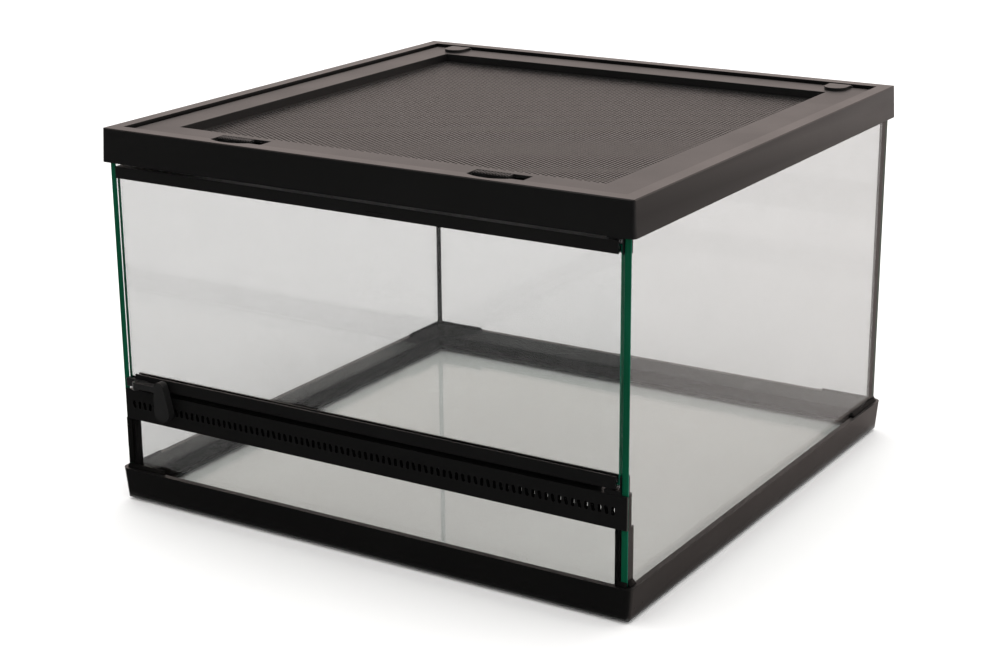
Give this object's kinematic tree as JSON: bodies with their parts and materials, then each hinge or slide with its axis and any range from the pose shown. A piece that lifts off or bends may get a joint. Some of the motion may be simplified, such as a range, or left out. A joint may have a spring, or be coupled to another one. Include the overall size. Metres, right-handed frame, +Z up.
{
  "type": "reptile terrarium",
  "caption": "Low square glass terrarium with black frames, a hinged front door over a slotted vent strip, and a hinged mesh lid.",
  "frame": {"origin": "centre of the footprint, on the surface that the terrarium stands on", "axes": "+Z up, the door faces -Y, +X to the right of someone facing the door"},
  "size_m": [0.452, 0.4579, 0.2955],
  "materials": {
    "base_plastic": "black injection-moulded plastic, satin",
    "top_plastic": "black injection-moulded plastic, satin",
    "lid_plastic": "black injection-moulded plastic, satin, greyish in light",
    "profile_plastic": "black extruded plastic, smooth",
    "latch_plastic": "black moulded plastic, fine grain",
    "catch_plastic": "black moulded plastic, ribbed",
    "bush_plastic": "black slippery plastic",
    "silicone": "black silicone sealant, slightly shiny",
    "mesh_steel": "fine perforated sheet, dark coated",
    "pin_steel": "bright steel pins",
    "clear_glass": "clear float glass with green cut edges"
  },
  "bodies": {
    "enclosure": {"base_frame": "base_plastic", "floor_glass": "clear_glass", "left_glass": "clear_glass", "right_glass": "clear_glass", "back_glass": "clear_glass", "window_glass": "clear_glass", "vent_strip": "profile_plastic", "top_frame": "top_plastic", "silicone_floor": "silicone", "silicone_back_left": "silicone", "silicone_back_right": "silicone", "silicone_front_left": "silicone", "silicone_front_right": "silicone", "silicone_corner_pads": "silicone", "upper_hinge_bracket": "profile_plastic", "lower_hinge_bracket": "profile_plastic", "upper_hinge_pin": "pin_steel", "lower_hinge_pin": "pin_steel", "lid_hinge_pins": "pin_steel"},
    "door": {"door_glass": "clear_glass", "door_top_profile": "profile_plastic", "door_bottom_profile": "profile_plastic", "upper_hinge_bush": "bush_plastic", "lower_hinge_bush": "bush_plastic", "latch_bracket": "latch_plastic", "latch_pin": "pin_steel"},
    "latch": {"latch_lever": "latch_plastic"},
    "lid": {"lid_frame": "lid_plastic", "lid_mesh": "mesh_steel", "lid_hinge_leaf_left": "lid_plastic", "lid_hinge_leaf_right": "lid_plastic"},
    "catch_left": {"lid_catch_left": "catch_plastic"},
    "catch_right": {"lid_catch_right": "catch_plastic"}
  },
  "joints": [
    {"name": "door_hinge", "type": "hinge", "parent": "enclosure", "child": "door", "pos_m": [0.2069, -0.2197, 0.18], "axis": [0, 0, 1], "range_deg": [0, 110]},
    {"name": "latch_swing", "type": "hinge", "parent": "door", "child": "latch", "pos_m": [-0.2022, -0.22875, 0.1], "axis": [0, 0, -1], "range_deg": [0, 60]},
    {"name": "lid_hinge", "type": "hinge", "parent": "enclosure", "child": "lid", "pos_m": [0, 0.2103, 0.2933], "axis": [-1, 0, 0], "range_deg": [0, 100]},
    {"name": "catch_left_slide", "type": "slide", "parent": "lid", "child": "catch_left", "axis": [1, 0, 0], "range_m": [0, 0.012]},
    {"name": "catch_right_slide", "type": "slide", "parent": "lid", "child": "catch_right", "axis": [1, 0, 0], "range_m": [0, 0.012]}
  ]
}
